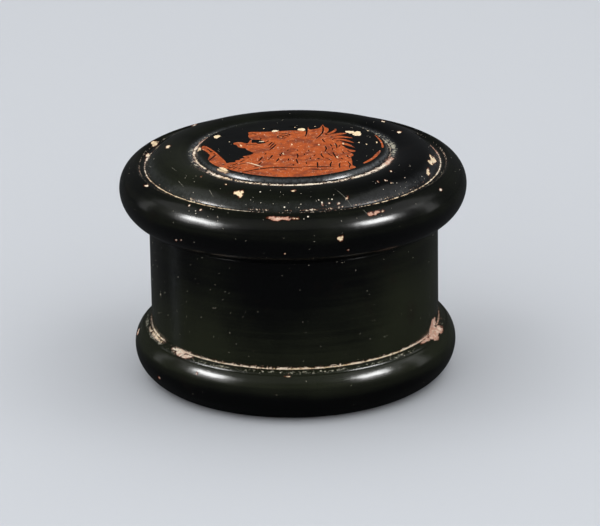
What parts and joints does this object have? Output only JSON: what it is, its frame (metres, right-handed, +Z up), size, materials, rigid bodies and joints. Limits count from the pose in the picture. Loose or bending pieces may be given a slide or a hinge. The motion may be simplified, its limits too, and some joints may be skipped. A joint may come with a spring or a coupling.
{
  "type": "pyxis box",
  "caption": "Round wheel-thrown clay box with a straight wall, a rounded base moulding and a lift-off lid seated around an inset lip.",
  "frame": {"origin": "centre of the flat ring that the box stands on", "axes": "+Z up along the wheel axis, +X to the right in the picture's view, +Y away from that view"},
  "size_m": [0.084, 0.084, 0.0563],
  "materials": {
    "black_gloss": "glossy black slip over fired clay, with small chips and worn lines that show the clay",
    "reserved_clay": "fired orange-red clay left bare, lightly smoothed"
  },
  "bodies": {
    "box": {"box": "black_gloss"},
    "lid": {"lid": "black_gloss"}
  },
  "joints": [
    {"name": "lid_lift", "type": "slide", "parent": "box", "child": "lid", "axis": [0, 0, 1], "range_m": [0, 0.06]}
  ]
}
